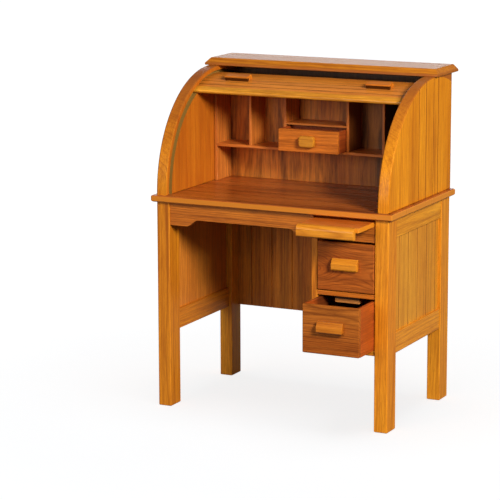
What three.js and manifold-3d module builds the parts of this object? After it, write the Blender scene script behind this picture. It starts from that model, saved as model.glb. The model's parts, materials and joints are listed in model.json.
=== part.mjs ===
// Roll top desk in doll furniture scale. Millimetres, +Z up, the front faces -Y.
// The lid is a slatted roll curtain on a quarter circle track. The pedestal on the
// right holds two drawers below a pull-out writing slide. A pigeonhole unit with one
// small drawer stands on the desktop.

import * as THREE from 'three';
import { mergeVertices } from 'three/addons/utils/BufferGeometryUtils.js';
import Module from 'manifold-3d';

const wasm = await Module();
wasm.setup();

// ---- general ----
const EASE = 0.6; // small rounding on board edges
const SMALL_EASE = 0.35; // rounding on thin boards
const FIT = 0.3; // gap where a piece rests inside or beside a moving one
const SIDE_PLAY = 0.9; // gap at each end of a drawer front
const CUT_PAST = 2; // how far a cutter runs past the wood it cuts

// ---- base frame ----
const FRAME_W = 279; // outside width over the legs
const FRAME_D = 177; // outside depth over the legs
const LEG_W = 15.5;
const LEG_D = 23.5;
const DESK_H = 241; // height of the writing surface
const DESK_T = 7.3;
const DESK_OVER_SIDE = 5.5;
const DESK_OVER_FRONT = 4.8;
const DESK_OVER_BACK = 4;

// ---- side frames of the base ----
const RAIL_SET_IN = 1; // rails stand in from the outer face of the legs
const RAIL_T = 11;
const TOP_RAIL_H = 22.4;
const LOW_RAIL_BOTTOM = DESK_H - 157;
const LOW_RAIL_H = 22.7;
const PANEL_SET_IN = 3.7;
const PANEL_T = 5;
const PLANK_W = 26.3; // width of one plank between grooves
const SIDE_GROOVE_Y = 3; // groove nearest the middle of a side panel
const PLANKS_EACH_WAY = 2;
const BACK_PLANKS_EACH_WAY = 4;
const GROOVE_W = 1.5;
const GROOVE_DEPTH = 0.8;

// ---- back panel of the base ----
const BACK_T = 4;
const BACK_SET_IN = 3.5;

// ---- apron ----
const APRON_T = 8;
const APRON_SET_IN = 1.5;
const APRON_LOW = DESK_H - 33.2; // lower edge beside the legs
const APRON_HIGH = DESK_H - 25.6; // lower edge over the kneehole
const OGEE_W = 14.5;
const OGEE_STEPS = 10;
const APRON_EAR = 20.5; // straight low part beside the left leg
const APRON_FLAT = 15; // straight low part left of the partition

// ---- pedestal ----
const PARTITION_X = 49;
const PARTITION_T = 7;
const PARTITION_TOP = DESK_H - 24;
const DIVIDER_RAIL_TOP = DESK_H - 89.6;
const DIVIDER_RAIL_BOTTOM = DIVIDER_RAIL_TOP - 5.4;
const PED_FLOOR_TOP = LOW_RAIL_BOTTOM + 6;
const RUNNER_W = 6;
const RUNNER_D = 150;
const TOP_FRONT_Z = DESK_H - 35.5; // upper edge of the upper drawer front
const LOW_FRONT_Z = DIVIDER_RAIL_BOTTOM - 2.2; // upper edge of the lower drawer front
const DRAWER_FRONT_H = 53.2;
const DRAWER_FRONT_T = 5;
const DRAWER_SIDE_T = 4;
const DRAWER_BOTTOM_T = 3;
const DRAWER_BOTTOM_UP = 3; // drawer bottom panel above the lower edge of the sides
const DRAWER_LENGTH = 150;
const DRAWER_FRONT_SET = 0.5; // fronts stand this far ahead of the legs when closed
const LOW_DRAWER_OUT = 38.5; // how far the lower drawer stands open
const STOP_W = 29;
const STOP_D = 7;
const STOP_H = 8.5;
const STOP_ASIDE = 2; // stop block left of the middle of the pedestal
const STOP_BEHIND = 9.5; // stop block behind the front face of the legs

// ---- writing slide ----
const SLIDE_W = 70.5;
const SLIDE_X = 87.2;
const SLIDE_TOP = DESK_H - 10.6;
const SLIDE_T = 5;
const SLIDE_LENGTH = 130;
const SLIDE_OUT = 45;
const LIP_H = 12.6;
const LIP_T = 6;
const LIP_ROUND_TOP = 4.6;
const LIP_ROUND_LOW = 1.8;
const LIP_STEPS = 5;
const LIP_SHORT = 4; // the lip ends this far short of the right edge of the board
const GUIDE_SHELF = 7;
const GUIDE_IN = 3; // left guide laps over the partition by this much
const GUIDE_LEFT_D = 138;
const GUIDE_RIGHT_D = 116;

// ---- pulls ----
const PULL_W = 30;
const PULL_H = 12.6;
const PULL_D = 5.6;
const PULL_ABOVE_MID = 3.2; // pull centre above the middle of a drawer front
// Section of a drawer pull from its lower to its upper edge, in parts of half its
// height and of its depth: a blunt lower half and a sloping upper half.
const PULL_SECTION = [[-1, 0], [1, 0], [1, 0.45], [0.1, 1], [-0.78, 1], [-1, 0.82]];
const LID_PULL_W = 28.5;
const LID_PULL_H = 13.4;
const LID_PULL_D = 5.8;
// A pull on the curtain is undercut below as a finger grip.
const LID_PULL_SECTION = [[-0.72, 0], [1, 0], [0.86, 0.72], [0.5, 1], [-0.85, 1], [-1, 0.78]];

// ---- upper case ----
const ARC_Y = 41; // centre of the quarter circle
const ARC_Z = DESK_H + 1.5;
const SIDE_R = 130;
const SIDE_T = 13;
const CASE_BACK_Y = 91;
const CASE_BACK_T = 4;
const CASE_BACK_SET_IN = 1;
const SIDE_ROUND = 1.2;
const ARC_STEPS = 48;
const BEAD_Y = [-5.3, 15.1, 36.7, 50.5]; // grooves on the outer face of the upper sides
const TOP_HALF_W = FRAME_W / 2 + 3.9;
const TOP_FRONT_Y = 37.4;
const TOP_BACK_Y = 100;
const TOP_T = 8.3;
const TOP_LIP = 2.4;
const TOP_CHAMFER_FRONT = 6.5;
const TOP_CHAMFER_END = 4.6;
const TOP_CHAMFER_BACK = 3;
const BEAD_CLEAR = PLANK_W / 3; // no groove nearer than this to the end of the back

// ---- roll curtain ----
const TRACK_R_IN = 117.9;
const TRACK_R_OUT = 125.1;
const TRACK_DEPTH = 5;
const TRACK_START = -3; // degrees from the front
const TRACK_END = 113;
const CURTAIN_IN_TRACK = 4;
const LEAD_R_IN = 118.3;
const LEAD_R_OUT = 121.3;
const RAIL_R_OUT = 123.5;
const RAIL_NOSE = 62.5; // degrees from the front to the middle of the rounded lower edge
const SLAT_START = 65.2; // degrees from the front, as the lid stands
const RAIL_GAP = 0.15; // degrees between the rail and the first slat
const NOSE_STEPS = 8;
const RAIL_STEPS = 3;
const SLAT_STEPS = 2;
const SLAT_PITCH = 4.02;
const SLAT_COUNT = 11;
const SLAT_GROOVE = 1; // half width of the groove between slats
const SLAT_GROOVE_DEPTH = 1.2;
const FOLLOW_R_OUT = 117.4;
const FOLLOW_R_IN = 114;
const FOLLOW_START = 67;
const FOLLOW_COUNT = 12;
const FOLLOW_PITCH = 3.68;
const FOLLOW_END_GAP = 0.5;
const LID_PULL_ANGLE = 77;
const LID_PULL_X = 86.5;
const LID_PULL_ASIDE = 1.7; // both pulls stand a little left of their even places
const LID_PULL_SEAT = 0.05; // keeps the flat back of a pull clear of the slats

// ---- pigeonhole unit ----
const UNIT_FRONT_Y = 27;
const UNIT_BACK_Y = 63;
const UNIT_T = 3.2;
const UNIT_BACK_T = 2.6;
const UNIT_TOP_Z = DESK_H + 111;
const UNIT_SIDE_GAP = 0.4;
const SHELF_BOTTOM = DESK_H + 40;
const SHELF_TOP = SHELF_BOTTOM + UNIT_T;
const SMALL_SHELF_BOTTOM = SHELF_TOP + 27; // shelf above the small drawer
const SMALL_SHELF_TOP = SMALL_SHELF_BOTTOM + 2.2;
const DIVIDER_X = [-80.6, -36.6, 40.6, 83.9];
const DIVIDER_T = 3;

// ---- small drawer ----
const BOX_FRONT_T = 4;
const BOX_LENGTH = 34;
const BOX_OUT = 22;
const BOX_H = 25;
const BOX_WALL = 2.4;
const KNOB_W = 19;
const KNOB_H = 12.6;
const KNOB_D = 5.5;
const KNOB_ROUND = 3.4; // corner radius seen from the front
const KNOB_EASE = 1.2;
const KNOB_STEPS = 4;

// ---- derived positions ----
const LEG_X = FRAME_W / 2;
const LEG_Y = FRAME_D / 2;
const LEG_IN_X = LEG_X - LEG_W;
const LEG_IN_Y = LEG_Y - LEG_D;
const DESK_UNDER = DESK_H - DESK_T;
const RAIL_OUT_X = LEG_X - RAIL_SET_IN;
const PANEL_OUT_X = LEG_X - PANEL_SET_IN;
const PANEL_IN_X = PANEL_OUT_X - PANEL_T;
const LOW_RAIL_TOP = LOW_RAIL_BOTTOM + LOW_RAIL_H;
const TOP_RAIL_BOTTOM = DESK_UNDER - TOP_RAIL_H;
const APRON_Y = -LEG_Y + APRON_SET_IN;
const BACK_Y1 = LEG_Y - BACK_SET_IN;
const BACK_Y0 = BACK_Y1 - BACK_T;
const PED_X0 = PARTITION_X + PARTITION_T;
const PED_X1 = LEG_IN_X;
const DRAWER_X0 = PED_X0 + SIDE_PLAY;
const DRAWER_X1 = PED_X1 - SIDE_PLAY;
const CLOSED_Y = -LEG_Y - DRAWER_FRONT_SET;
const LOW_FRONT_Y = CLOSED_Y - LOW_DRAWER_OUT;
const SIDE_IN_X = LEG_X - SIDE_T;
const SIDE_TOP_Z = ARC_Z + SIDE_R;
const CASE_BACK_Y1 = CASE_BACK_Y - CASE_BACK_SET_IN;
const CASE_BACK_Y0 = CASE_BACK_Y1 - CASE_BACK_T;
const TOP_Z = SIDE_TOP_Z + TOP_T;
const SLOT_BOTTOM = SLIDE_TOP - SLIDE_T - FIT;
const SLIDE_FRONT_Y = CLOSED_Y - SLIDE_OUT;
// Puts the origin under the middle of the whole piece from front to back.
const ORIGIN_SHIFT = -(Math.min(LOW_FRONT_Y - PULL_D, SLIDE_FRONT_Y) + TOP_BACK_Y) / 2;

// ---- materials ----
function wood(name, colour, roughness) {
  const material = new THREE.MeshStandardMaterial({ color: colour, roughness, metalness: 0 });
  material.name = name;
  return material;
}
const FRAME_WOOD = wood('frame_wood', 0xd0913f, 0.4);
const PANEL_WOOD = wood('panel_wood', 0xc8873a, 0.45);
const DESKTOP_WOOD = wood('desktop_wood', 0xb0672f, 0.35);
const FRONT_WOOD = wood('drawer_front_wood', 0xa8662e, 0.4);
const BOX_WOOD = wood('drawer_box_wood', 0xb8612c, 0.5);
const PULL_WOOD = wood('pull_wood', 0xdca048, 0.4);
const CURTAIN_WOOD = wood('curtain_wood', 0xcf9440, 0.4);
const UNIT_WOOD = wood('pigeonhole_wood', 0xa0602f, 0.5);

const desk = new THREE.Group();
desk.name = 'roll_top_desk';

function add(name, geometry, material) {
  const placed = geometry.clone();
  placed.translate(0, ORIGIN_SHIFT, 0);
  const mesh = new THREE.Mesh(placed, material);
  mesh.name = name;
  desk.add(mesh);
}

// ---- geometry helpers ----

// Closed solid through equal rings of points, with flat ends.
function ringSolid(rings) {
  const count = rings[0].length;
  const positions = rings.flat(2);
  const index = [];
  for (let ring = 0; ring < rings.length - 1; ring += 1) {
    for (let i = 0; i < count; i += 1) {
      const a = ring * count + i;
      const b = ring * count + (i + 1) % count;
      index.push(a, b, b + count, a, b + count, a + count);
    }
  }
  const last = (rings.length - 1) * count;
  for (let i = 1; i < count - 1; i += 1) {
    index.push(0, i + 1, i);
    index.push(last, last + i, last + i + 1);
  }
  const geometry = new THREE.BufferGeometry();
  geometry.setAttribute('position', new THREE.Float32BufferAttribute(positions, 3));
  geometry.setIndex(index);
  const flat = geometry.toNonIndexed();
  flat.computeVertexNormals();
  return flat;
}

// Rectangle with clipped corners, counter-clockwise seen from above.
function clippedRing(x0, x1, y0, y1, z, clip) {
  return [
    [x0 + clip, y0, z], [x1 - clip, y0, z], [x1, y0 + clip, z], [x1, y1 - clip, z],
    [x1 - clip, y1, z], [x0 + clip, y1, z], [x0, y1 - clip, z], [x0, y0 + clip, z],
  ];
}

// Board between two corners, with all its edges eased.
function board([x0, x1], [y0, y1], [z0, z1], ease = EASE) {
  return ringSolid([
    clippedRing(x0 + ease, x1 - ease, y0 + ease, y1 - ease, z0, ease),
    clippedRing(x0, x1, y0, y1, z0 + ease, ease),
    clippedRing(x0, x1, y0, y1, z1 - ease, ease),
    clippedRing(x0 + ease, x1 - ease, y0 + ease, y1 - ease, z1, ease),
  ]);
}

// Extrudes a closed outline of [u, v] points, with an optional bevel.
function extrude(points, length, bevel = 0) {
  const shape = new THREE.Shape(points.map(([u, v]) => new THREE.Vector2(u, v)));
  return new THREE.ExtrudeGeometry(shape, {
    depth: length - 2 * bevel,
    bevelEnabled: bevel > 0,
    bevelThickness: bevel,
    bevelSize: bevel,
    bevelOffset: -bevel,
    bevelSegments: 2,
    steps: 1,
  }).translate(0, 0, bevel);
}

// Turns an outline in (y, z) that was extruded along local z so that it runs along x.
function alongX(geometry, x0) {
  const basis = new THREE.Matrix4().makeBasis(
    new THREE.Vector3(0, 1, 0),
    new THREE.Vector3(0, 0, 1),
    new THREE.Vector3(1, 0, 0),
  );
  return geometry.applyMatrix4(basis).translate(x0, 0, 0);
}

// Turns an outline in (x, z) that was extruded along local z so that it runs along y.
function alongY(geometry, y0) {
  const basis = new THREE.Matrix4().makeBasis(
    new THREE.Vector3(1, 0, 0),
    new THREE.Vector3(0, 0, 1),
    new THREE.Vector3(0, -1, 0),
  );
  return geometry.applyMatrix4(basis).translate(0, y0, 0);
}

function toManifold(geometry) {
  const plain = geometry.clone();
  plain.deleteAttribute('normal');
  plain.deleteAttribute('uv');
  const merged = mergeVertices(plain, 1e-3);
  const mesh = new wasm.Mesh({
    numProp: 3,
    vertProperties: Float32Array.from(merged.attributes.position.array),
    triVerts: Uint32Array.from(merged.index.array),
  });
  return new wasm.Manifold(mesh);
}

function fromManifold(solid) {
  const mesh = solid.getMesh();
  const geometry = new THREE.BufferGeometry();
  geometry.setAttribute('position', new THREE.Float32BufferAttribute(mesh.vertProperties, 3));
  geometry.setIndex(Array.from(mesh.triVerts));
  const flat = geometry.toNonIndexed();
  flat.computeVertexNormals();
  return flat;
}

function cut(geometry, cutters) {
  let solid = toManifold(geometry);
  for (const cutter of cutters) {
    solid = solid.subtract(toManifold(cutter));
  }
  return fromManifold(solid);
}

// Point on the circle about the curtain's centre, by degrees up from the front.
function onArc(radius, degrees) {
  const angle = THREE.MathUtils.degToRad(degrees);
  return [ARC_Y - radius * Math.cos(angle), ARC_Z + radius * Math.sin(angle)];
}

function arcPoints(radius, from, to, steps) {
  const points = [];
  for (let i = 0; i <= steps; i += 1) {
    points.push(onArc(radius, from + ((to - from) * i) / steps));
  }
  return points;
}

// ---- legs ----
for (const [sideName, side] of [['left', -1], ['right', 1]]) {
  for (const [endName, end] of [['front', -1], ['back', 1]]) {
    const xs = [side * LEG_X, side * LEG_IN_X].sort((a, b) => a - b);
    const ys = [end * LEG_Y, end * LEG_IN_Y].sort((a, b) => a - b);
    add(`leg_${endName}_${sideName}`, board(xs, ys, [0, DESK_UNDER], EASE), FRAME_WOOD);
  }
}

// ---- side frames: two rails and a grooved panel on each side ----
const grooveYs = [];
for (let i = -PLANKS_EACH_WAY; i <= PLANKS_EACH_WAY; i += 1) {
  grooveYs.push(SIDE_GROOVE_Y + i * PLANK_W);
}

// Outline of a board with V grooves along its +v face; u runs along the board.
function groovedOutline(u0, u1, v0, v1, grooves) {
  const points = [[u0, v0], [u1, v0], [u1, v1]];
  for (const u of [...grooves].sort((a, b) => b - a)) {
    points.push([u + GROOVE_W / 2, v1], [u, v1 - GROOVE_DEPTH], [u - GROOVE_W / 2, v1]);
  }
  points.push([u0, v1]);
  return points;
}

function sidePanel(side) {
  const outline = groovedOutline(-LEG_IN_Y, LEG_IN_Y, PANEL_IN_X, PANEL_OUT_X, grooveYs);
  const points = outline.map(([y, x]) => [side * x, y]);
  if (side > 0) {
    points.reverse();
  }
  return extrude(points, TOP_RAIL_BOTTOM - LOW_RAIL_TOP).translate(0, 0, LOW_RAIL_TOP);
}

for (const [sideName, side] of [['left', -1], ['right', 1]]) {
  const xs = [side * RAIL_OUT_X, side * (RAIL_OUT_X - RAIL_T)].sort((a, b) => a - b);
  const ys = [-LEG_IN_Y, LEG_IN_Y];
  add(`side_panel_${sideName}`, sidePanel(side), PANEL_WOOD);
  add(`top_rail_${sideName}`, board(xs, ys, [TOP_RAIL_BOTTOM, DESK_UNDER], SMALL_EASE), FRAME_WOOD);
  add(`low_rail_${sideName}`, board(xs, ys, [LOW_RAIL_BOTTOM, LOW_RAIL_TOP], SMALL_EASE), FRAME_WOOD);
}

// ---- grooved back panel between the back legs ----
const backGrooves = [];
for (let i = -BACK_PLANKS_EACH_WAY; i <= BACK_PLANKS_EACH_WAY; i += 1) {
  backGrooves.push(i * PLANK_W);
}
const backOutline = groovedOutline(-LEG_IN_X, LEG_IN_X, 0, BACK_T, backGrooves);
const backPoints = backOutline.map(([x, v]) => [x, -v]).reverse();
const backPanel = extrude(backPoints, DESK_UNDER - LOW_RAIL_BOTTOM);
add('back_panel', backPanel.translate(0, BACK_Y1, LOW_RAIL_BOTTOM), PANEL_WOOD);

// ---- apron: low beside the left leg and along the pedestal, high between ----
function ogee(x0, x1, z0, z1) {
  const points = [];
  for (let i = 0; i <= OGEE_STEPS; i += 1) {
    const t = i / OGEE_STEPS;
    const rise = (1 - Math.cos(Math.PI * t)) / 2;
    points.push([x0 + (x1 - x0) * t, z0 + (z1 - z0) * rise]);
  }
  return points;
}
const slideX0 = SLIDE_X - SLIDE_W / 2;
const slideX1 = SLIDE_X + SLIDE_W / 2;
const notchX = slideX0 - SIDE_PLAY;
const leftOgee = -LEG_IN_X + APRON_EAR;
const rightOgee = notchX - APRON_FLAT - OGEE_W;
const apronOutline = [
  [-LEG_IN_X, APRON_LOW],
  ...ogee(leftOgee, leftOgee + OGEE_W, APRON_LOW, APRON_HIGH),
  ...ogee(rightOgee, rightOgee + OGEE_W, APRON_HIGH, APRON_LOW),
  [LEG_IN_X, APRON_LOW],
  [LEG_IN_X, SLOT_BOTTOM],
  [notchX, SLOT_BOTTOM],
  [notchX, DESK_UNDER],
  [-LEG_IN_X, DESK_UNDER],
];
add('apron', alongY(extrude(apronOutline, APRON_T, SMALL_EASE), APRON_Y + APRON_T), FRONT_WOOD);

// ---- pedestal frame ----
const innerFrontY = APRON_Y + APRON_T;
const partition = board(
  [PARTITION_X, PED_X0],
  [APRON_Y, BACK_Y0],
  [LOW_RAIL_BOTTOM, PARTITION_TOP],
  SMALL_EASE,
);
// The partition is notched round the back of the apron.
const apronNotch = new THREE.BoxGeometry(
  PARTITION_T + 2 * CUT_PAST,
  APRON_T + 2 * CUT_PAST,
  PARTITION_TOP,
);
apronNotch.translate(
  PARTITION_X + PARTITION_T / 2,
  innerFrontY - APRON_T / 2 - CUT_PAST + SMALL_EASE,
  APRON_LOW + PARTITION_TOP / 2 - FIT,
);
add('partition', cut(partition, [apronNotch]), FRAME_WOOD);
add(
  'drawer_rail',
  board([PED_X0, PED_X1], [APRON_Y, -LEG_IN_Y], [DIVIDER_RAIL_BOTTOM, DIVIDER_RAIL_TOP], SMALL_EASE),
  FRAME_WOOD,
);
add(
  'pedestal_rail',
  board([PED_X0, PED_X1], [APRON_Y, -LEG_IN_Y], [LOW_RAIL_BOTTOM, PED_FLOOR_TOP], SMALL_EASE),
  FRAME_WOOD,
);
for (const [level, z0, z1] of [
  ['upper', DIVIDER_RAIL_BOTTOM, DIVIDER_RAIL_TOP],
  ['lower', LOW_RAIL_BOTTOM, PED_FLOOR_TOP],
]) {
  const ys = [-LEG_IN_Y, -LEG_IN_Y + RUNNER_D - LEG_D];
  const rightX1 = level === 'upper' ? PANEL_IN_X : RAIL_OUT_X - RAIL_T;
  add(`runner_${level}_left`, board([PED_X0, PED_X0 + RUNNER_W], ys, [z0, z1], SMALL_EASE), BOX_WOOD);
  add(`runner_${level}_right`, board([PED_X1 - RUNNER_W, rightX1], ys, [z0, z1], SMALL_EASE), BOX_WOOD);
}
const stopX = (PED_X0 + PED_X1) / 2 - STOP_ASIDE;
const stopY = -LEG_Y + STOP_BEHIND;
add(
  'stop_block',
  board(
    [stopX - STOP_W / 2, stopX + STOP_W / 2],
    [stopY, stopY + STOP_D],
    [DIVIDER_RAIL_BOTTOM - STOP_H, DIVIDER_RAIL_BOTTOM],
    SMALL_EASE,
  ),
  PULL_WOOD,
);

// ---- pulls, flat on their backs ----
// Local frame: u is up, v is out of the face it is fixed to.
function pullOutline(section, height, depth) {
  return section.map(([u, v]) => [(u * height) / 2, v * depth]);
}

function drawerPull(x, y, z) {
  const outline = pullOutline(PULL_SECTION, PULL_H, PULL_D).map(([u, v]) => [y - v, z + u]);
  return alongX(extrude(outline, PULL_W, SMALL_EASE), x - PULL_W / 2);
}

// ---- pedestal drawers ----
function drawer(name, frontY, boxBottom, frontTop) {
  const frontBottom = frontTop - DRAWER_FRONT_H;
  const backY = frontY + DRAWER_LENGTH;
  const sideYs = [frontY + DRAWER_FRONT_T, backY];
  const midX = (DRAWER_X0 + DRAWER_X1) / 2;
  const innerXs = [DRAWER_X0 + DRAWER_SIDE_T, DRAWER_X1 - DRAWER_SIDE_T];
  const bottomZ = boxBottom + DRAWER_BOTTOM_UP;
  add(
    `${name}_front`,
    board([DRAWER_X0, DRAWER_X1], [frontY, frontY + DRAWER_FRONT_T], [frontBottom, frontTop], EASE),
    FRONT_WOOD,
  );
  add(
    `${name}_side_left`,
    board([DRAWER_X0, innerXs[0]], sideYs, [boxBottom, frontTop], SMALL_EASE),
    BOX_WOOD,
  );
  add(
    `${name}_side_right`,
    board([innerXs[1], DRAWER_X1], sideYs, [boxBottom, frontTop], SMALL_EASE),
    BOX_WOOD,
  );
  add(
    `${name}_back`,
    board(innerXs, [backY - DRAWER_SIDE_T, backY], [boxBottom, frontTop], SMALL_EASE),
    BOX_WOOD,
  );
  add(
    `${name}_bottom`,
    board(
      innerXs,
      [frontY + DRAWER_FRONT_T, backY - DRAWER_SIDE_T],
      [bottomZ, bottomZ + DRAWER_BOTTOM_T],
      SMALL_EASE,
    ),
    BOX_WOOD,
  );
  add(`${name}_pull`, drawerPull(midX, frontY, (frontTop + frontBottom) / 2 + PULL_ABOVE_MID), PULL_WOOD);
}
drawer('top_drawer', CLOSED_Y, DIVIDER_RAIL_TOP + FIT, TOP_FRONT_Z);
drawer('low_drawer', LOW_FRONT_Y, PED_FLOOR_TOP + FIT, LOW_FRONT_Z);

// ---- writing slide on two guides ----
const lipBackY = SLIDE_FRONT_Y + LIP_T;
add(
  'slide_board',
  board(
    [slideX0, slideX1],
    [lipBackY, SLIDE_FRONT_Y + SLIDE_LENGTH],
    [SLIDE_TOP - SLIDE_T, SLIDE_TOP],
    SMALL_EASE,
  ),
  DESKTOP_WOOD,
);
// Quarter turn of radius r about (u, v), from the given direction in degrees.
function corner(u, v, r, from, steps) {
  const points = [];
  for (let i = 0; i <= steps; i += 1) {
    const angle = THREE.MathUtils.degToRad(from + (90 * i) / steps);
    points.push([u + r * Math.cos(angle), v + r * Math.sin(angle)]);
  }
  return points;
}

// Front edge of the slide, well rounded above and a little below.
const lipLow = SLIDE_TOP - LIP_H;
const lipOutline = [
  [lipBackY, lipLow],
  [lipBackY, SLIDE_TOP],
  ...corner(SLIDE_FRONT_Y + LIP_ROUND_TOP, SLIDE_TOP - LIP_ROUND_TOP, LIP_ROUND_TOP, 90, LIP_STEPS),
  ...corner(SLIDE_FRONT_Y + LIP_ROUND_LOW, lipLow + LIP_ROUND_LOW, LIP_ROUND_LOW, 180, LIP_STEPS),
];
add('slide_lip', alongX(extrude(lipOutline, SLIDE_W - LIP_SHORT, SMALL_EASE), slideX0), PULL_WOOD);

function slideGuide(side) {
  const edge = side < 0 ? slideX0 - FIT : slideX1 + FIT;
  const outer = side < 0 ? PARTITION_X - GUIDE_IN : RAIL_OUT_X - RAIL_T;
  const shelf = edge - side * GUIDE_SHELF;
  const outline = [
    [outer, PARTITION_TOP], [shelf, PARTITION_TOP], [shelf, SLOT_BOTTOM],
    [edge, SLOT_BOTTOM], [edge, DESK_UNDER], [outer, DESK_UNDER],
  ];
  if (side > 0) {
    outline.reverse();
  }
  return outline;
}
const guides = [
  ['left', -1, innerFrontY, GUIDE_LEFT_D],
  ['right', 1, -LEG_IN_Y, GUIDE_RIGHT_D],
];
for (const [sideName, side, frontY, length] of guides) {
  const guide = alongY(extrude(slideGuide(side), length), frontY + FIT + length);
  add(`slide_guide_${sideName}`, guide, BOX_WOOD);
}

// ---- desktop ----
add(
  'desktop',
  board(
    [-LEG_X - DESK_OVER_SIDE, LEG_X + DESK_OVER_SIDE],
    [-LEG_Y - DESK_OVER_FRONT, LEG_Y + DESK_OVER_BACK],
    [DESK_UNDER, DESK_H],
    EASE * 2,
  ),
  DESKTOP_WOOD,
);

// ---- upper sides: quarter circle front, track groove inside, grooves outside ----
const sideOutline = [
  [CASE_BACK_Y, DESK_H],
  [CASE_BACK_Y, SIDE_TOP_Z],
  ...arcPoints(SIDE_R, 90, 0, ARC_STEPS),
  [ARC_Y - SIDE_R, DESK_H],
].reverse();

function trackCutter(x0, length) {
  const outline = [
    ...arcPoints(TRACK_R_OUT, TRACK_START, TRACK_END, ARC_STEPS),
    ...arcPoints(TRACK_R_IN, TRACK_END, TRACK_START, ARC_STEPS),
  ].reverse();
  return alongX(extrude(outline, length), x0);
}

function beadCutter(x, y) {
  const outline = [
    [x - GROOVE_DEPTH, y], [x, y - GROOVE_W / 2], [x + GROOVE_DEPTH, y - GROOVE_W],
    [x + GROOVE_DEPTH, y + GROOVE_W], [x, y + GROOVE_W / 2],
  ];
  const side = Math.sign(x);
  const points = outline.map(([px, py]) => [x + side * (px - x), py]);
  if (side < 0) {
    points.reverse();
  }
  return extrude(points, SIDE_R + 2 * CUT_PAST).translate(0, 0, DESK_H - CUT_PAST);
}

for (const [sideName, side] of [['left', -1], ['right', 1]]) {
  const x0 = side < 0 ? -LEG_X : SIDE_IN_X;
  const body = alongX(extrude(sideOutline, SIDE_T, SIDE_ROUND), x0);
  const trackX0 = side < 0 ? -SIDE_IN_X - TRACK_DEPTH : SIDE_IN_X - CUT_PAST;
  const cutters = [trackCutter(trackX0, TRACK_DEPTH + CUT_PAST)];
  for (const y of BEAD_Y) {
    cutters.push(beadCutter(side * LEG_X, y));
  }
  add(`upper_side_${sideName}`, cut(body, cutters), FRAME_WOOD);
}
const caseBackGrooves = backGrooves.filter((x) => Math.abs(x) < SIDE_IN_X - BEAD_CLEAR);
const caseBackOutline = groovedOutline(-SIDE_IN_X, SIDE_IN_X, 0, CASE_BACK_T, caseBackGrooves);
const caseBack = extrude(caseBackOutline, SIDE_TOP_Z - DESK_H);
add('upper_back', caseBack.translate(0, CASE_BACK_Y0, DESK_H), PANEL_WOOD);

// ---- top board: small upright lip with a wide chamfer above it ----
function rectRing(half, y0, y1, z) {
  return [[-half, y0, z], [half, y0, z], [half, y1, z], [-half, y1, z]];
}
const chamferHalf = TOP_HALF_W - TOP_CHAMFER_END;
const chamferYs = [TOP_FRONT_Y + TOP_CHAMFER_FRONT, TOP_BACK_Y - TOP_CHAMFER_BACK];
add(
  'top_board',
  ringSolid([
    rectRing(TOP_HALF_W - EASE, TOP_FRONT_Y + EASE, TOP_BACK_Y - EASE, SIDE_TOP_Z),
    rectRing(TOP_HALF_W, TOP_FRONT_Y, TOP_BACK_Y, SIDE_TOP_Z + EASE),
    rectRing(TOP_HALF_W, TOP_FRONT_Y, TOP_BACK_Y, SIDE_TOP_Z + TOP_LIP),
    rectRing(chamferHalf, chamferYs[0], chamferYs[1], TOP_Z - EASE / 2),
    rectRing(chamferHalf - EASE, chamferYs[0] + EASE, chamferYs[1] - EASE, TOP_Z),
  ]),
  FRAME_WOOD,
);

// ---- roll curtain ----
// Each half is one sheet of slats on its canvas, with a V groove between slats.
function slatSheet(rIn, rOut, start, pitch, count) {
  const outer = [];
  const groove = THREE.MathUtils.radToDeg(SLAT_GROOVE / rOut);
  for (let i = 0; i < count; i += 1) {
    const a0 = start + i * pitch;
    const a1 = a0 + pitch;
    if (i > 0) {
      outer.push(onArc(rOut - SLAT_GROOVE_DEPTH, a0));
    }
    const from = i > 0 ? a0 + groove : a0;
    const to = i < count - 1 ? a1 - groove : a1;
    outer.push(...arcPoints(rOut, from, to, SLAT_STEPS));
  }
  const end = start + pitch * count;
  return [...outer, ...arcPoints(rIn, end, start, count)];
}

function curtain(outline, halfWidth, bevel = 0) {
  return alongX(extrude([...outline].reverse(), 2 * halfWidth, bevel), -halfWidth);
}

const curtainHalf = SIDE_IN_X + CURTAIN_IN_TRACK;
add(
  'lid_slats',
  curtain(slatSheet(LEAD_R_IN, LEAD_R_OUT, SLAT_START, SLAT_PITCH, SLAT_COUNT), curtainHalf),
  CURTAIN_WOOD,
);

// The rail at the lower end of the curtain has a fully rounded lower edge.
const noseR = (RAIL_R_OUT - LEAD_R_IN) / 2;
const [noseY, noseZ] = onArc(LEAD_R_IN + noseR, RAIL_NOSE);
const nose = [];
for (let i = 1; i < NOSE_STEPS; i += 1) {
  const angle = THREE.MathUtils.degToRad(RAIL_NOSE + (180 * i) / NOSE_STEPS);
  nose.push([noseY + noseR * Math.cos(angle), noseZ - noseR * Math.sin(angle)]);
}
const railEnd = SLAT_START - RAIL_GAP;
const railOutline = [
  ...arcPoints(RAIL_R_OUT, RAIL_NOSE, railEnd, RAIL_STEPS),
  ...arcPoints(LEAD_R_IN, railEnd, RAIL_NOSE, RAIL_STEPS),
  ...nose,
];
add('lid_rail', curtain(railOutline, curtainHalf, SMALL_EASE), CURTAIN_WOOD);
const followHalf = SIDE_IN_X - FOLLOW_END_GAP;
add(
  'lid_rear_slats',
  curtain(slatSheet(FOLLOW_R_IN, FOLLOW_R_OUT, FOLLOW_START, FOLLOW_PITCH, FOLLOW_COUNT), followHalf),
  CURTAIN_WOOD,
);

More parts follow.
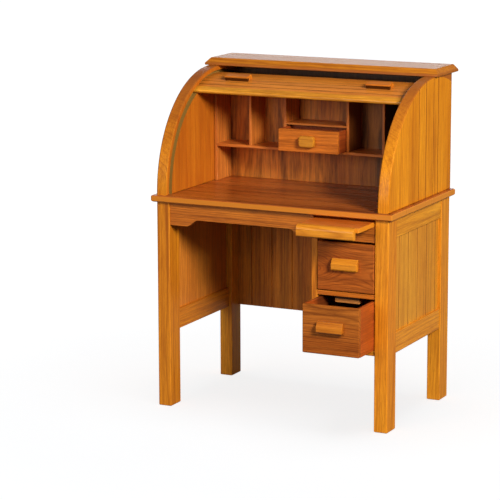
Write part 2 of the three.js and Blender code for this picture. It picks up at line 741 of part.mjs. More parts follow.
// Pulls on the curtain. They stand on the crowns of the slats.
function lidPull(x) {
  const angle = THREE.MathUtils.degToRad(LID_PULL_ANGLE);
  const outline = pullOutline(LID_PULL_SECTION, LID_PULL_H, LID_PULL_D).map(([u, v]) => {
    const radius = LEAD_R_OUT + LID_PULL_SEAT + v;
    return [
      ARC_Y - radius * Math.cos(angle) + u * Math.sin(angle),
      ARC_Z + radius * Math.sin(angle) + u * Math.cos(angle),
    ];
  });
  return alongX(extrude(outline, LID_PULL_W, SMALL_EASE), x - LID_PULL_W / 2);
}
add('lid_pull_left', lidPull(-LID_PULL_X - LID_PULL_ASIDE), PULL_WOOD);
add('lid_pull_right', lidPull(LID_PULL_X - LID_PULL_ASIDE), PULL_WOOD);

// ---- pigeonhole unit ----
const unitHalf = SIDE_IN_X - UNIT_SIDE_GAP;
const unitYs = [UNIT_FRONT_Y, UNIT_BACK_Y];
const unitInner = unitHalf - UNIT_T;
add(
  'unit_back',
  board([-unitHalf, unitHalf], [UNIT_BACK_Y, UNIT_BACK_Y + UNIT_BACK_T], [DESK_H, UNIT_TOP_Z], SMALL_EASE),
  UNIT_WOOD,
);
add('unit_end_left', board([-unitHalf, -unitInner], unitYs, [DESK_H, UNIT_TOP_Z], SMALL_EASE), UNIT_WOOD);
add('unit_end_right', board([unitInner, unitHalf], unitYs, [DESK_H, UNIT_TOP_Z], SMALL_EASE), UNIT_WOOD);
add('unit_shelf', board([-unitInner, unitInner], unitYs, [SHELF_BOTTOM, SHELF_TOP], SMALL_EASE), UNIT_WOOD);
DIVIDER_X.forEach((x, i) => {
  add(
    `unit_divider_${i + 1}`,
    board([x - DIVIDER_T / 2, x + DIVIDER_T / 2], unitYs, [SHELF_TOP, UNIT_TOP_Z], SMALL_EASE),
    UNIT_WOOD,
  );
});
const bayX0 = DIVIDER_X[1] + DIVIDER_T / 2;
const bayX1 = DIVIDER_X[2] - DIVIDER_T / 2;
add(
  'unit_drawer_shelf',
  board([bayX0, bayX1], unitYs, [SMALL_SHELF_BOTTOM, SMALL_SHELF_TOP], SMALL_EASE),
  UNIT_WOOD,
);

// ---- small drawer: a front, a hollow box and a knob ----
const boxX0 = bayX0 + 2 * FIT;
const boxX1 = bayX1 - 2 * FIT;
const boxY0 = UNIT_FRONT_Y - BOX_OUT;
const boxZ0 = SHELF_TOP + FIT;
const boxZ1 = boxZ0 + BOX_H;
add(
  'small_drawer_front',
  board([boxX0, boxX1], [boxY0, boxY0 + BOX_FRONT_T], [boxZ0, boxZ1], SMALL_EASE),
  FRONT_WOOD,
);
const tray = board([boxX0, boxX1], [boxY0 + BOX_FRONT_T, boxY0 + BOX_LENGTH], [boxZ0, boxZ1], SMALL_EASE);
const hollow = new THREE.BoxGeometry(
  boxX1 - boxX0 - 2 * BOX_WALL,
  BOX_LENGTH - BOX_FRONT_T - 2 * BOX_WALL,
  BOX_H,
);
hollow.translate(
  (boxX0 + boxX1) / 2,
  boxY0 + (BOX_FRONT_T + BOX_LENGTH) / 2,
  boxZ0 + BOX_WALL + BOX_H / 2,
);
add('small_drawer_box', cut(tray, [hollow]), BOX_WOOD);
const knobX = (boxX0 + boxX1) / 2;
const knobZ = (boxZ0 + boxZ1) / 2;
const knobInX = KNOB_W / 2 - KNOB_ROUND;
const knobInZ = KNOB_H / 2 - KNOB_ROUND;
const knobOutline = [
  ...corner(knobX + knobInX, knobZ + knobInZ, KNOB_ROUND, 0, KNOB_STEPS),
  ...corner(knobX - knobInX, knobZ + knobInZ, KNOB_ROUND, 90, KNOB_STEPS),
  ...corner(knobX - knobInX, knobZ - knobInZ, KNOB_ROUND, 180, KNOB_STEPS),
  ...corner(knobX + knobInX, knobZ - knobInZ, KNOB_ROUND, 270, KNOB_STEPS),
];
add('small_drawer_knob', alongY(extrude(knobOutline, KNOB_D, KNOB_EASE), boxY0), PULL_WOOD);

export default desk;
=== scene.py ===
import json
import math
import random

import bpy
from mathutils import Euler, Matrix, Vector


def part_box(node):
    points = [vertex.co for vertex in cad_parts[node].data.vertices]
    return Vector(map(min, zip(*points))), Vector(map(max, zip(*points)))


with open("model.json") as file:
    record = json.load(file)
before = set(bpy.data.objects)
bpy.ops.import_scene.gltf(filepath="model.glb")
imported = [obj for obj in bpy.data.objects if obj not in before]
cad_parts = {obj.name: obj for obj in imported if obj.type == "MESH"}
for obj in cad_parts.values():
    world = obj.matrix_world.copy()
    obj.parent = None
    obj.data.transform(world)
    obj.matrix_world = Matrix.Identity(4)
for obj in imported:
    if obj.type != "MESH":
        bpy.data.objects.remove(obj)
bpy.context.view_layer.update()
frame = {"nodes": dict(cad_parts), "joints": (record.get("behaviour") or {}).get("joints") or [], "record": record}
nodes = frame["nodes"]

X, Y, Z = 0, 1, 2
LOW, HIGH = 0, 1  # the two ends of a box

# ---------------------------------------------------------------- camera
CAMERA_AT = (1.05501, -2.26449, 0.67483)
CAMERA_AZIMUTH = 26.204
CAMERA_ELEVATION = 11.259
CAMERA_ROLL = -0.165
FOCAL_PER_WIDTH = 4.55854  # focal length over the sensor's width
SENSOR_WIDTH = 36.0


def make_camera():
    azimuth, elevation = math.radians(CAMERA_AZIMUTH), math.radians(CAMERA_ELEVATION)
    forward = Vector((
        -math.sin(azimuth) * math.cos(elevation),
        math.cos(azimuth) * math.cos(elevation),
        -math.sin(elevation),
    ))
    data = bpy.data.cameras.new("camera")
    data.sensor_width = SENSOR_WIDTH
    data.lens = FOCAL_PER_WIDTH * SENSOR_WIDTH
    data.clip_start, data.clip_end = 0.05, 100.0
    camera = bpy.data.objects.new("camera", data)
    bpy.context.scene.collection.objects.link(camera)
    camera.location = CAMERA_AT
    level = forward.to_track_quat("-Z", "Y")
    roll = Euler((0.0, 0.0, math.radians(CAMERA_ROLL))).to_quaternion()
    camera.rotation_mode = "QUATERNION"
    camera.rotation_quaternion = level @ roll
    bpy.context.scene.camera = camera


make_camera()


# ---------------------------------------------------------------- node trees
class Graph:
    """Short way to write a node tree. A value is a number, a tuple or another node's socket."""

    def __init__(self, tree):
        self.tree = tree

    def put(self, socket, value):
        if isinstance(value, bpy.types.NodeSocket):
            self.tree.links.new(value, socket)
        else:
            socket.default_value = value

    def node(self, kind, settings=None, **inputs):
        made = self.tree.nodes.new(kind)
        for key, value in (settings or {}).items():
            setattr(made, key, value)
        for key, value in inputs.items():
            self.put(made.inputs[key.replace("_", " ")], value)
        return made

    def maths(self, operation, a, b=0.0):
        made = self.node("ShaderNodeMath", {"operation": operation})
        self.put(made.inputs[0], a)
        self.put(made.inputs[1], b)
        return made.outputs[0]

    def add(self, a, b):
        return self.maths("ADD", a, b)

    def times(self, a, b):
        return self.maths("MULTIPLY", a, b)

    def step(self, value, start, end, low=0.0, high=1.0, shape="LINEAR"):
        """Goes from low to high as the value goes from start to end, and stays level past both."""
        made = self.node("ShaderNodeMapRange", {"interpolation_type": shape}, Value=value)
        for socket, number in zip(made.inputs[1:5], (start, end, low, high)):
            socket.default_value = number
        return made.outputs[0]

    def between(self, value, low, high, soft=0.0003):
        return self.times(self.step(value, low - soft, low), self.step(value, high + soft, high))

    def near(self, value, places, half, soft=0.0003):
        """1 close to any of the places and 0 away from them."""
        found = None
        for place in places:
            gap = self.maths("ABSOLUTE", self.add(value, -place))
            one = self.step(gap, half + soft, half)
            found = one if found is None else self.maths("MAXIMUM", found, one)
        return found

    def vector(self, operation, a, b):
        made = self.node("ShaderNodeVectorMath", {"operation": operation})
        self.put(made.inputs[0], a)
        self.put(made.inputs[1], b)
        return made.outputs[0]

    def noise(self, at, detail, rough, scale=1.0):
        made = self.node("ShaderNodeTexNoise", Vector=at, Scale=scale, Detail=detail, Roughness=rough)
        return made.outputs[0]

    def ramp(self, factor, *stops):
        """Colour or grey by factor: each stop is a place and a colour or a grey level."""
        made = self.node("ShaderNodeValToRGB", Fac=factor)
        ramp = made.color_ramp
        while len(ramp.elements) < len(stops):
            ramp.elements.new(0.5)
        for element, (place, colour) in zip(ramp.elements, stops):
            element.position = place
            element.color = colour if hasattr(colour, "__len__") else (colour, colour, colour, 1.0)
        return made.outputs[0]

    def mix(self, factor, a, b):
        made = self.node("ShaderNodeMix", {"data_type": "RGBA", "clamp_factor": True})
        self.put(made.inputs[0], factor)
        self.put(made.inputs[6], a)
        self.put(made.inputs[7], b)
        return made.outputs[2]


def new_material(name):
    material = bpy.data.materials.new(name)
    material.use_nodes = True
    return material, Graph(material.node_tree), material.node_tree.nodes["Principled BSDF"]


# ---------------------------------------------------------------- light and floor
WARM = (1.0, 0.97, 0.93)
WHITE = (1.0, 1.0, 1.0)

# Each lamp: name, place, the point it looks at, size in metres, watts, colour.
LAMPS = (
    ("key", (1.55, -1.10, 1.10), (0, 0, 0.2), (0.5, 0.5), 56.0, (1.0, 0.96, 0.90)),
    ("front", (-0.5, -2.4, 0.8), (0, 0, 0.2), (0.9, 0.9), 17.0, WARM),
    ("sheen", (-1.5, 2.6, 1.15), (0, 0, 0.38), (1.8, 0.7), 9.0, WHITE),
    ("above", (0.1, -0.1, 1.7), (0.05, 0, 0), (1.1, 1.1), 9.0, WHITE),
    ("behind", (-1.7, 2.3, 0.48), (0, 0, 0.2), (1.2, 0.7), 60.0, WARM),
)
FLOOR_LAMP = "above"  # the floor takes its one soft shadow from this lamp and none from the others
MATT_LAMP = "behind"  # this one is not mirrored in the polish

BACKDROP = 1.0  # what the camera sees
SKY = 0.16  # what lights the desk from all round
FLOOR_SIZE = 60.0
FLOOR_GREYS = ((0.385, 0.405, 0.425, 1.0), (0.405, 0.425, 0.445, 1.0))
FLOOR_NEAR, FLOOR_FAR = 0.30, 1.0  # distances from the desk between which the floor gets paler
GLOW_NEAR, GLOW_FAR = 0.825, 0.995  # and its brightness there, for the camera only


def add_lamp(name, at, target, size, power, colour):
    data = bpy.data.lights.new(name, "AREA")
    data.shape = "RECTANGLE"
    data.size, data.size_y = size
    data.energy = power
    data.color = colour
    lamp = bpy.data.objects.new(name, data)
    bpy.context.scene.collection.objects.link(lamp)
    lamp.location = at
    lamp.rotation_mode = "QUATERNION"
    lamp.rotation_quaternion = (Vector(target) - Vector(at)).to_track_quat("-Z", "Y")
    lamp.visible_glossy = name != MATT_LAMP
    return lamp


def make_world():
    world = bpy.data.worlds.new("studio")
    bpy.context.scene.world = world
    world.use_nodes = True
    g = Graph(world.node_tree)
    seen = g.node("ShaderNodeBackground", Color=(1.0, 1.0, 1.0, 1.0), Strength=BACKDROP)
    lit = g.node("ShaderNodeBackground", Color=(1.0, 0.985, 0.97, 1.0), Strength=SKY)
    path = g.node("ShaderNodeLightPath")
    either = g.node("ShaderNodeMixShader", Fac=path.outputs["Is Camera Ray"])
    g.put(either.inputs[1], lit.outputs[0])
    g.put(either.inputs[2], seen.outputs[0])
    g.put(world.node_tree.nodes["World Output"].inputs["Surface"], either.outputs[0])


def make_floor():
    bpy.ops.mesh.primitive_plane_add(size=FLOOR_SIZE, location=(0, 0, 0))
    floor = bpy.context.object
    floor.name = "floor"
    material, g, shader = new_material("floor")
    at = g.node("ShaderNodeTexCoord").outputs["Object"]
    mottle = g.noise(at, detail=3.0, rough=0.6, scale=5.0)
    g.put(shader.inputs["Base Color"], g.ramp(mottle, (0.3, FLOOR_GREYS[0]), (0.7, FLOOR_GREYS[1])))
    shader.inputs["Roughness"].default_value = 0.9
    shader.inputs["Specular IOR Level"].default_value = 0.0
    shader.inputs["Emission Color"].default_value = (1.0, 1.0, 1.0, 1.0)
    away = g.node("ShaderNodeVectorMath", {"operation": "LENGTH"})
    g.put(away.inputs[0], at)
    glow = g.step(away.outputs["Value"], FLOOR_NEAR, FLOOR_FAR, GLOW_NEAR, GLOW_FAR, "SMOOTHSTEP")
    path = g.node("ShaderNodeLightPath")
    g.put(shader.inputs["Emission Strength"], g.times(path.outputs["Is Camera Ray"], glow))
    floor.data.materials.append(material)
    return floor


def make_stage():
    settings = bpy.context.scene.view_settings
    settings.view_transform = "Standard"
    settings.look = "None"
    make_world()
    lamps = [add_lamp(*row) for row in LAMPS]
    floor = make_floor()
    for lamp in lamps:
        linked = bpy.data.collections.new(lamp.name + "_on")
        linked.objects.link(floor)
        state = "INCLUDE" if lamp.name == FLOOR_LAMP else "EXCLUDE"
        linked.collection_objects[0].light_linking.link_state = state
        lamp.light_linking.receiver_collection = linked


make_stage()


# ---------------------------------------------------------------- wood
def linear(value):
    value /= 255.0
    return value / 12.92 if value <= 0.04045 else ((value + 0.055) / 1.055) ** 2.4


def rgb(red, green, blue):
    return (linear(red), linear(green), linear(blue), 1.0)


# Each stain: pale wood, mid wood, dark late wood, roughness.
STAINS = {
    "frame_wood": (rgb(230, 146, 32), rgb(214, 126, 22), rgb(146, 70, 8), 0.36),
    "panel_wood": (rgb(230, 148, 34), rgb(210, 126, 26), rgb(142, 70, 10), 0.40),
    "desktop_wood": (rgb(206, 110, 40), rgb(186, 88, 26), rgb(112, 42, 8), 0.30),
    "drawer_front_wood": (rgb(190, 108, 38), rgb(160, 80, 24), rgb(88, 36, 8), 0.36),
    "drawer_box_wood": (rgb(206, 98, 30), rgb(188, 82, 22), rgb(132, 50, 10), 0.48),
    "pull_wood": (rgb(234, 154, 40), rgb(220, 134, 26), rgb(160, 82, 12), 0.34),
    "curtain_wood": (rgb(214, 132, 44), rgb(192, 110, 30), rgb(120, 58, 12), 0.36),
    "pigeonhole_wood": (rgb(226, 134, 52), rgb(202, 104, 34), rgb(104, 48, 14), 0.46),
}
SPECULAR, COAT, COAT_ROUGHNESS = 0.26, 0.14, 0.18  # the polish, before gloss
SLOW_WAVE, SLOW_SHARE = 0.23, 3.2  # how the rings bunch together: waves per ring, and rings of swing


def stained(stain, tone):
    """The stain's pale, mid and dark colours, with red, green and blue multiplied by tone."""
    return [tuple(min(1.0, c * t) for c, t in zip(colour, tone)) + (1.0,) for colour in STAINS[stain][:3]]


def log_radius(g, parts, grain, broad, centre, heart, bow, tilt, warp, swing):
    """Distance from the log's axis. swing is two random sockets that make the rings wander."""
    thin = X + Y + Z - grain - broad  # the axis that is left
    u = g.add(parts[grain], -(centre[grain] + heart[0]))
    v = g.add(parts[broad], -(centre[broad] + heart[1]))
    v = g.add(v, g.times(u, tilt[0]))
    v = g.add(v, g.times(g.add(swing[0], -0.5), warp * 2))
    w = g.add(parts[thin], -(centre[thin] + heart[2]))
    w = g.add(w, g.times(u, tilt[1]))
    w = g.add(w, g.times(g.add(swing[1], -0.5), warp * 2))
    if bow:
        w = g.add(w, g.times(g.times(u, u), bow))
    return g.maths("SQRT", g.add(g.times(v, v), g.times(w, w)))


def late_wood(g, radius, spacing):
    """How dark each year's ring is: pale early wood, then a dark band, some years darker than others."""
    phase = g.times(radius, 1.0 / spacing)
    one_d = {"noise_dimensions": "1D"}
    slow = g.node("ShaderNodeTexNoise", one_d, W=g.times(phase, SLOW_WAVE), Scale=1.0, Detail=1.0)
    phase = g.add(phase, g.times(slow.outputs[0], SLOW_SHARE))
    year = g.node("ShaderNodeTexWhiteNoise", one_d, W=g.maths("FLOOR", phase)).outputs[0]
    late = g.ramp(g.maths("FRACT", phase),
                  (0.0, 0.35), (0.10, 0.05), (0.45, 0.0), (0.72, 0.45), (0.88, 1.0), (1.0, 0.35))
    return g.times(late, g.add(g.times(year, 0.6), 0.4))


def wood(name, stain, grain, broad, box, heart, seed, spacing, tilt, bow=0.0, depth=0.6, streak=0.5,
         warp=0.004, fine=0.42, tone=(1.0, 1.0, 1.0), gloss=1.0, marks=()):
    """Solid wood with the rings of a log. grain and broad say which axes the board is long and
    wide in. heart is the offset in metres (along, across, behind) from the middle of the board to
    the place where the log's axis comes nearest, and bow bends that axis so the rings close up.
    spacing is a ring's width, tilt and warp are the log's slope and unevenness. depth, streak and
    fine are the strengths of rings, long streaks and fibres."""
    pale, mid, dark = stained(stain, tone)
    rng = random.Random(seed)
    material, g, shader = new_material(name)
    place = g.node("ShaderNodeTexCoord").outputs["Object"]
    shift = tuple(rng.uniform(-9, 9) for _ in range(3))

    def stretched(across, along):
        """The place for a noise with so many waves per metre across and along the grain."""
        scale = [across, across, across]
        scale[grain] = along
        return g.vector("ADD", g.vector("MULTIPLY", place, tuple(scale)), shift)

    parts = g.node("ShaderNodeSeparateXYZ", Vector=place).outputs
    wander = g.node("ShaderNodeTexNoise", Vector=stretched(42.0, 5.0), Scale=1.0, Detail=2.0, Roughness=0.5)
    swing = g.node("ShaderNodeSeparateColor", Color=wander.outputs[1]).outputs
    centre = (box[LOW] + box[HIGH]) / 2
    radius = log_radius(g, parts, grain, broad, centre, heart, bow, tilt, warp, swing)
    late = late_wood(g, radius, spacing)

    # fine fibres, long streaks, short pores and slow clouds of tone
    fibre = g.noise(stretched(1500.0, 45.0), detail=3.0, rough=0.65)
    bands = g.noise(stretched(260.0, 5.0), detail=3.0, rough=0.6)
    pores = g.ramp(g.noise(stretched(3000.0, 160.0), detail=1.0, rough=0.5), (0.62, 0.0), (0.70, 1.0))
    cloud = g.noise(stretched(26.0, 6.0), detail=2.0, rough=0.55)

    colour = g.mix(g.ramp(cloud, (0.3, 0.0), (0.7, 1.0)), pale, mid)
    colour = g.mix(g.times(late, depth), colour, dark)
    colour = g.mix(g.times(g.ramp(bands, (0.48, 0.0), (0.72, 1.0)), streak), colour, dark)
    colour = g.mix(g.times(g.ramp(fibre, (0.35, 1.0), (0.6, 0.0)), fine), colour, dark)
    colour = g.mix(g.times(g.ramp(fibre, (0.52, 0.0), (0.75, 1.0)), fine), colour, pale)
    deep = tuple(c * 0.5 for c in dark[:3]) + (1.0,)
    colour = g.mix(g.times(pores, 0.30), colour, deep)
    for where, paint in marks:
        colour = g.mix(where(g, parts, box), colour, paint)
    g.put(shader.inputs["Base Color"], colour)

    # fibres are rougher and late wood is smoother, and both show in the surface
    rough = STAINS[stain][3]
    roughness = g.add(g.times(fibre, 0.16), rough - 0.08)
    g.put(shader.inputs["Roughness"], g.add(roughness, g.times(late, -0.04)))
    shader.inputs["Specular IOR Level"].default_value = SPECULAR * gloss
    shader.inputs["Coat Weight"].default_value = COAT * gloss
    shader.inputs["Coat Roughness"].default_value = COAT_ROUGHNESS
    height = g.add(g.times(fibre, 0.6), g.times(late, 0.3))
    height = g.add(height, g.times(pores, -0.5))
    bump = g.node("ShaderNodeBump", Strength=0.25, Distance=0.0002, Height=height)
    g.put(shader.inputs["Normal"], bump.outputs["Normal"])
    return material


# ---------------------------------------------------------------- places on the desk
def roll_axis():
    """Centre of the quarter circle of the upper sides, which the lid rolls round."""
    joint = next(row for row in frame["joints"] if row["name"] == "lid_roll")
    return joint["pos_m"][Y], joint["pos_m"][Z]


ARC_Y, ARC_Z = roll_axis()
UPPER_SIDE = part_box("upper_side_right")
INNER_W, HALF_W = UPPER_SIDE[LOW][X], UPPER_SIDE[HIGH][X]  # inner and outer face of the upper sides
ARC_R = UPPER_SIDE[HIGH][Z] - ARC_Z
SIDE_BACK = UPPER_SIDE[HIGH][Y]
BEADS = (0.0117, 0.0321, 0.0537, 0.0675)  # grooves in the outer faces of the upper sides
BEAD_DEEP = 0.0009  # just past their depth
TRACK_IN, TRACK_OUT = 0.1176, 0.1254  # radii just past the walls of the curtain's track
TRACK_DEEP = 0.0056  # and just past its floor
PLANK = 0.0263  # width of the planks of the panels
SIDE_PLANK_Y = 0.020  # where one groove between the side planks is
SLAT_START, SLAT_PITCH = 65.2, 4.02  # degrees up from the front, and degrees per slat
GRIP_Y, GRIP_Z = 0.0285, 0.3640  # the undercut of the curtain's pulls is in front of and below these

# ---------------------------------------------------------------- painted marks: painted shade and shadow, dark lines and streaks
# Each mark is a function of the graph, the place's x, y and z sockets and the piece's box. It says
# how strong the mark is there, and the colour beside it in SPECIAL is painted on as strongly.
DARK = rgb(44, 22, 8)
BROWN = rgb(112, 54, 18)
OLIVE = rgb(146, 110, 50)
RED_EDGE = rgb(150, 78, 32)
RED_WALL = rgb(176, 80, 24)
EDGE_GOLD = rgb(216, 134, 30)


def from_arc(g, p):
    y, z = g.add(p[Y], -ARC_Y), g.add(p[Z], -ARC_Z)
    return g.maths("SQRT", g.add(g.times(y, y), g.times(z, z)))


def from_middle(g, p):
    return g.maths("ABSOLUTE", p[X])


def track_shade(g, p, box):
    """Painted shade in the curtain's track: the wood inside it is coloured olive for the dark gap beside the
    curtain.
    """
    ring = g.between(from_arc(g, p), TRACK_IN, TRACK_OUT)
    ring = g.times(ring, g.step(p[Y], SIDE_BACK - 0.0008, SIDE_BACK - 0.0014))
    return g.times(ring, g.between(from_middle(g, p), INNER_W + 0.0002, INNER_W + TRACK_DEEP, 0.0001))


def bead_shade(g, p, box):
    """Painted shade in the grooves of the outer faces."""
    outside = g.step(from_middle(g, p), HALF_W - BEAD_DEEP - 0.0003, HALF_W - BEAD_DEEP)
    return g.times(g.near(p[Y], BEADS, 0.0005, 0.0005), outside)


def arc_top(g, p, box):
    """The curved front edge is redder towards its top."""
    edge = g.step(from_arc(g, p), ARC_R - 0.0012, ARC_R - 0.0006)
    return g.times(g.times(edge, g.step(p[Z], ARC_Z + 0.0425, ARC_Z + 0.1225)), 0.75)


def outer_line(g, p, box):
    """Dark line along the outer corner of the curved edge."""
    edge = g.step(from_arc(g, p), ARC_R - 0.0016, ARC_R - 0.0008)
    corner = g.step(from_middle(g, p), HALF_W - 0.0013, HALF_W - 0.0004)
    return g.times(g.times(edge, corner), 0.85)


def inner_wall(g, p, box):
    """The inner faces of the upper sides are redder."""
    return g.times(g.step(from_middle(g, p), INNER_W + 0.0004, INNER_W + 0.0001), 0.45)


def top_back_edge(g, p, box):
    """The last millimetres before the back edge are darker."""
    return g.times(g.step(p[Y], SIDE_BACK - 0.0070, SIDE_BACK - 0.0005), 0.35)


def inside_face(box, axis, end, inset):
    """The place inset metres inside a box's lowest (LOW) or highest (HIGH) face on an axis."""
    return box[end][axis] + (inset if end == LOW else -inset)


def at_face(axis, end, inset, soft, strength):
    """The skin at one face of the piece, inset metres deep, fading over its innermost soft metres."""
    def mark(g, p, box):
        start, full = inside_face(box, axis, end, inset), inside_face(box, axis, end, inset - soft)
        return g.times(g.step(p[axis], start, full), strength)
    return mark


def past_face(axis, end, inset, soft, strength):
    """All that lies more than inset metres inside one face, growing to full over soft metres."""
    def mark(g, p, box):
        start, full = inside_face(box, axis, end, inset), inside_face(box, axis, end, inset + soft)
        return g.times(g.step(p[axis], start, full), strength)
    return mark


def plank_lines(axis, first, face_axis, end, inset, soft):
    """Dark grooves between planks side by side along an axis, on one outer face only."""
    skin = at_face(face_axis, end, inset, soft, 1.0)

    def mark(g, p, box):
        turn = g.maths("FRACT", g.add(g.times(p[axis], 1.0 / PLANK), 0.5 - first / PLANK))
        gap = g.maths("ABSOLUTE", g.add(turn, -0.5))
        line = g.step(gap, 0.0011 / PLANK, 0.0005 / PLANK)
        return g.times(g.times(line, skin(g, p, box)), 0.8)
    return mark


def both(first, second):
    return lambda g, p, box: g.times(first(g, p, box), second(g, p, box))


def long_streaks(across, along, grain, low, high, strength):
    """Wide dark streaks along the grain: a noise with across and along waves per metre, which
    shows where it is over low and fully where it is over high."""
    def mark(g, p, box):
        scales = [across, across, across]
        scales[grain] = along
        x, y, z = (g.times(p[axis], scales[axis]) for axis in (X, Y, Z))
        at = g.node("ShaderNodeCombineXYZ", X=x, Y=y, Z=z)
        streaks = g.noise(at.outputs[0], detail=4.0, rough=0.62)
        return g.times(g.ramp(streaks, (low, 0.0), (high, 1.0)), strength)
    return mark


def bay_shade(g, p, box):
    """Painted shade: the wood behind the pigeonholes gets darker towards the right, where the right side keeps the
    light out.
    """
    return g.times(g.step(p[X], 0.0, 0.085), 0.62)


def pull_grip(g, p, box):
    """The undercut below the front edge of a pull on the curtain lies in shadow."""
    under = g.times(g.step(p[Z], GRIP_Z, GRIP_Z - 0.001), g.step(p[Y], GRIP_Y, GRIP_Y - 0.001))
    return g.times(under, 0.92)


def angle_of(g, p):
    """Degrees round the roll axis, up from the front."""
    turn = g.maths("ARCTAN2", g.add(p[Z], -ARC_Z), g.times(g.add(p[Y], -ARC_Y), -1.0))
    return g.times(turn, 180.0 / math.pi)


def slats_along(g, p):
    return g.times(g.add(angle_of(g, p), -SLAT_START), 1.0 / SLAT_PITCH)


def slat_grooves(g, p, box):
    """Dark lines between the slats."""
    gap = g.maths("ABSOLUTE", g.add(g.maths("FRACT", slats_along(g, p)), -0.5))
    return g.times(g.step(gap, 0.34, 0.46), 0.82)


def slat_turns(g, p, box):
    """Every slat is cut from another stick."""
    count = g.maths("FLOOR", slats_along(g, p))
    each = g.node("ShaderNodeTexWhiteNoise", {"noise_dimensions": "1D"}, W=count).outputs[0]
    return g.times(each, 0.14)


def slat_streaks(g, p, box):
    """Streaks that run along the slats."""
    at = g.node("ShaderNodeCombineXYZ", X=g.times(p[X], 30.0), Y=g.times(angle_of(g, p), 1.4))
    streaks = g.noise(at.outputs[0], detail=4.0, rough=0.75)
    return g.times(g.ramp(streaks, (0.51, 0.0), (0.65, 1.0)), 0.34)


def divider_shadow(inset, strength):
    """The right face of a divider, behind its front edge."""
    return both(at_face(X, HIGH, inset, 0.0003, 1.0), past_face(Y, LOW, 0.0006, 0.0015, strength))


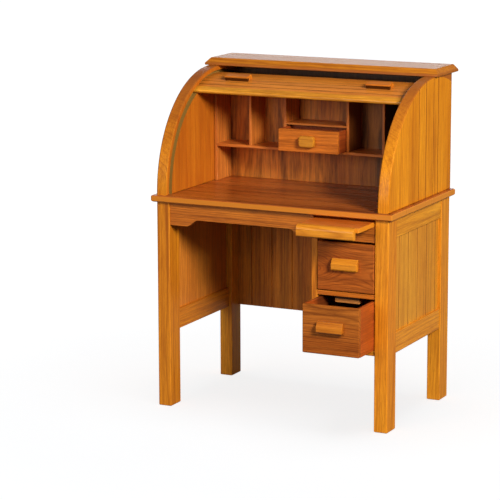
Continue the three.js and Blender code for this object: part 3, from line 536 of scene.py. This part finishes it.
# ---------------------------------------------------------------- what is special about single boards
# The first line whose word is in the piece's name counts. The values are those that wood() takes.
SPECIAL = {
    "top_drawer_front": dict(
        heart=(0.012, -0.006, 0.014), bow=7.0, spacing=0.0021, tilt=(0.06, 0.0), depth=0.8,
        gloss=0.5, tone=(1.18, 1.12, 1.1),
    ),
    "low_drawer_front": dict(
        heart=(0.02, 0.020, 0.012), bow=1.0, spacing=0.0023, tilt=(0.02, 0.04), depth=0.85,
        warp=0.002, gloss=0.5, tone=(1.12, 1.18, 1.1),
    ),
    "apron": dict(
        heart=(0.02, 0.03, 0.012), bow=0.2, spacing=0.0024, tilt=(0.01, 0.02), depth=0.7,
        tone=(1.42, 1.50, 1.05),
    ),
    "unit_back": dict(
        spacing=0.011, depth=0.55, streak=0.35, warp=0.016, tone=(1.1, 1.2, 1.0),
        marks=(
            (long_streaks(75.0, 9.0, Z, 0.50, 0.66, 0.75), rgb(62, 30, 10)),
            (bay_shade, rgb(34, 18, 8)),
        ),
    ),
    "unit_divider_4": dict(marks=((divider_shadow(0.0004, 0.97), rgb(12, 7, 4)),)),
    "unit_divider_3": dict(marks=((divider_shadow(0.0003, 0.7), rgb(44, 20, 8)),)),
    "upper_back": dict(
        streak=0.7,
        marks=(
            (plank_lines(X, 0.0, Y, HIGH, 0.0006, 0.0004), BROWN),
            # painted shade on the front face, which looks into the dark gap behind the curtain
            (at_face(Y, LOW, 0.0006, 0.0004, 0.86), rgb(26, 14, 6)),
        ),
    ),
    "back_panel": dict(
        streak=0.6, depth=0.5, tone=(0.92, 0.84, 1.3),
        marks=(
            (plank_lines(X, 0.0, Y, HIGH, 0.0025, 0.0010), BROWN),
            (long_streaks(120.0, 7.0, Z, 0.5, 0.62, 0.35), DARK),
        ),
    ),
    "side_panel_left": dict(
        tone=(1.05, 1.0, 2.2),
        marks=((plank_lines(Y, SIDE_PLANK_Y, X, LOW, 0.0028, 0.0010), BROWN),),
    ),
    # the tone pales and blues this board: painted sheen of the bright floor and sky on the right-hand faces
    "side_panel_right": dict(
        tone=(1.08, 1.28, 1.7),
        marks=((plank_lines(Y, SIDE_PLANK_Y, X, HIGH, 0.0028, 0.0010), BROWN),),
    ),
    # on both upper sides the track and bead marks are painted shade
    "upper_side_left": dict(
        gloss=0.6,
        marks=(
            (long_streaks(60.0, 6.0, Z, 0.48, 0.68, 0.40), rgb(120, 56, 14)),
            (inner_wall, RED_WALL),
            (track_shade, OLIVE),
            (bead_shade, BROWN),
            (arc_top, RED_EDGE),
            (outer_line, DARK),
        ),
    ),
    "upper_side_right": dict(
        gloss=0.45, tone=(1.12, 1.20, 0.9),
        marks=(
            (long_streaks(60.0, 6.0, Z, 0.50, 0.72, 0.30), rgb(140, 70, 18)),
            (inner_wall, RED_WALL),
            (track_shade, OLIVE),
            (bead_shade, BROWN),
            (top_back_edge, BROWN),
            (arc_top, RED_EDGE),
        ),
    ),
    "lid_rail": dict(depth=0.7, fine=0.6, tone=(1.45, 1.85, 1.3)),
    "slats": dict(
        depth=0.4, fine=0.3, streak=0.4, tone=(1.49, 1.52, 1.6),
        marks=((slat_turns, BROWN), (slat_streaks, rgb(112, 58, 16)), (slat_grooves, DARK)),
    ),
    "lid_pull": dict(
        depth=0.7, streak=0.6, tone=(0.95, 0.78, 0.9),
        marks=((pull_grip, rgb(50, 20, 6)),),
    ),
    "low_drawer_pull": dict(
        depth=0.8, streak=0.7, tone=(0.78, 0.66, 0.65),
        # painted shade on the lowest millimetres of the pull
        marks=((at_face(Z, LOW, 0.0027, 0.0010, 0.75), rgb(84, 34, 10)),),
    ),
    "small_drawer_knob": dict(depth=0.7, tone=(0.8, 0.85, 0.9)),
    "pull": dict(depth=0.8, streak=0.7),
    "small_drawer_front": dict(gloss=0.5, tone=(1.3, 1.2, 0.9), depth=0.5),
    "drawer_rail": dict(tone=(0.92, 0.74, 1.1)),
    # the tones of these three right-hand pieces pale and blue them: painted sheen of the bright floor and sky
    "top_rail_right": dict(tone=(1.12, 1.35, 1.6)),
    "low_rail_right": dict(tone=(1.08, 1.2, 1.5)),
    "leg_back_right": dict(tone=(1.12, 1.25, 1.4)),
    "leg_front_right": dict(
        tone=(1.12, 1.18, 1.1),
        marks=((long_streaks(150.0, 5.0, Z, 0.50, 0.64, 0.5), rgb(168, 88, 18)),),
    ),
    "leg_front_left": dict(
        marks=((long_streaks(150.0, 5.0, Z, 0.48, 0.62, 0.5), rgb(150, 74, 16)),),
    ),
    # the tone lightens this leg, which stands in shade: painted light
    "leg_back_left": dict(tone=(1.5, 1.7, 2.4)),
    "partition": dict(tone=(0.93, 0.86, 1.0)),
    # painted shade inside the low drawer: its sides and bottom get darker away from the front, and the bottom's
    # tone darkens it all
    "low_drawer_side_left": dict(
        tone=(0.98, 1.0, 1.0),
        marks=((past_face(Y, LOW, 0.0135, 0.014, 0.72), DARK),),
    ),
    "low_drawer_side_right": dict(
        tone=(0.98, 1.0, 1.0),
        marks=(
            (long_streaks(70.0, 7.0, Y, 0.45, 0.64, 0.55), rgb(118, 48, 14)),
            (past_face(Y, LOW, 0.0855, 0.03, 0.6), DARK),
        ),
    ),
    "low_drawer_bottom": dict(
        tone=(0.6, 0.5, 0.6),
        marks=((past_face(Y, LOW, 0.0105, 0.03, 0.8), DARK),),
    ),
    "small_drawer_box": dict(tone=(0.68, 0.66, 0.9)),
    "desktop": dict(
        tone=(0.98, 1.08, 1.3), spacing=0.019, warp=0.010,
        marks=(
            (long_streaks(85.0, 5.0, X, 0.47, 0.66, 0.75), rgb(92, 36, 12)),
            # painted light: the front and right edges are painted golden, lit copies of the redder top, which lies
            # in shade
            (at_face(Y, LOW, 0.0006, 0.0006, 0.9), rgb(206, 124, 34)),
            (at_face(X, HIGH, 0.0010, 0.0005, 0.9), rgb(214, 134, 38)),
        ),
    ),
    "slide_board": dict(
        tone=(1.5, 1.6, 1.3),
        marks=(
            # the front and right faces are painted a paler gold than the board
            (at_face(X, HIGH, 0.00065, 0.0004, 0.9), EDGE_GOLD),
            (at_face(Y, LOW, 0.0025, 0.0010, 0.95), EDGE_GOLD),
        ),
    ),
    "stop_block": dict(
        tone=(0.92, 1.0, 4.0), depth=0.2, streak=0.2,
        # painted shadow of the drawer rail on all but the lowest part of the block
        marks=((past_face(Z, LOW, 0.0037, 0.0008, 0.96), DARK),),
    ),
    "top_board": dict(
        tone=(0.86, 0.86, 0.95), fine=0.55, depth=0.7,
        marks=((at_face(Z, LOW, 0.0040, 0.0010, 0.5), rgb(146, 76, 30)),),
    ),
}

# Boards whose grain runs up, and those whose grain runs from front to back; it runs across in the rest.
GRAIN = (
    (Z, ("leg_", "side_panel", "back_panel", "upper_", "partition", "unit_back", "unit_end", "unit_divider")),
    (Y, ("top_rail", "low_rail", "runner_", "slide_guide", "_side_left", "_side_right", "drawer_box")),
)
SLOTS = {row["node"]: row["material_slot"] for row in frame["record"]["subparts"]}


def grain_of(name):
    for axis, words in GRAIN:
        if any(word in name for word in words):
            return axis
    return X


def special_of(name):
    return dict(next((values for word, values in SPECIAL.items() if word in name), {}))


def cut_board(name, index):
    """Gives a piece its own wood: a board cut from its own log, with what SPECIAL says of it."""
    low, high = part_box(name)
    size = high - low
    rng = random.Random(100 + index)
    grain = grain_of(name)
    broad = max((axis for axis in (X, Y, Z) if axis != grain), key=lambda axis: size[axis])
    special = special_of(name)
    heart = special.pop("heart", None) or (
        rng.uniform(-0.3, 0.3) * size[grain],
        rng.choice((-1, 1)) * rng.uniform(0.6, 1.1) * size[broad],
        rng.choice((-1, 1)) * rng.uniform(0.02, 0.05),
    )
    special.setdefault("spacing", rng.uniform(0.0024, 0.0036))
    special.setdefault("tilt", (rng.uniform(-0.04, 0.04), rng.uniform(-0.05, 0.05)))
    material = wood("wood_" + name, SLOTS[name], grain, broad, (low, high), heart, 500 + index, **special)
    nodes[name].data.materials.clear()
    nodes[name].data.materials.append(material)


for index, name in enumerate(sorted(nodes)):
    cut_board(name, index)
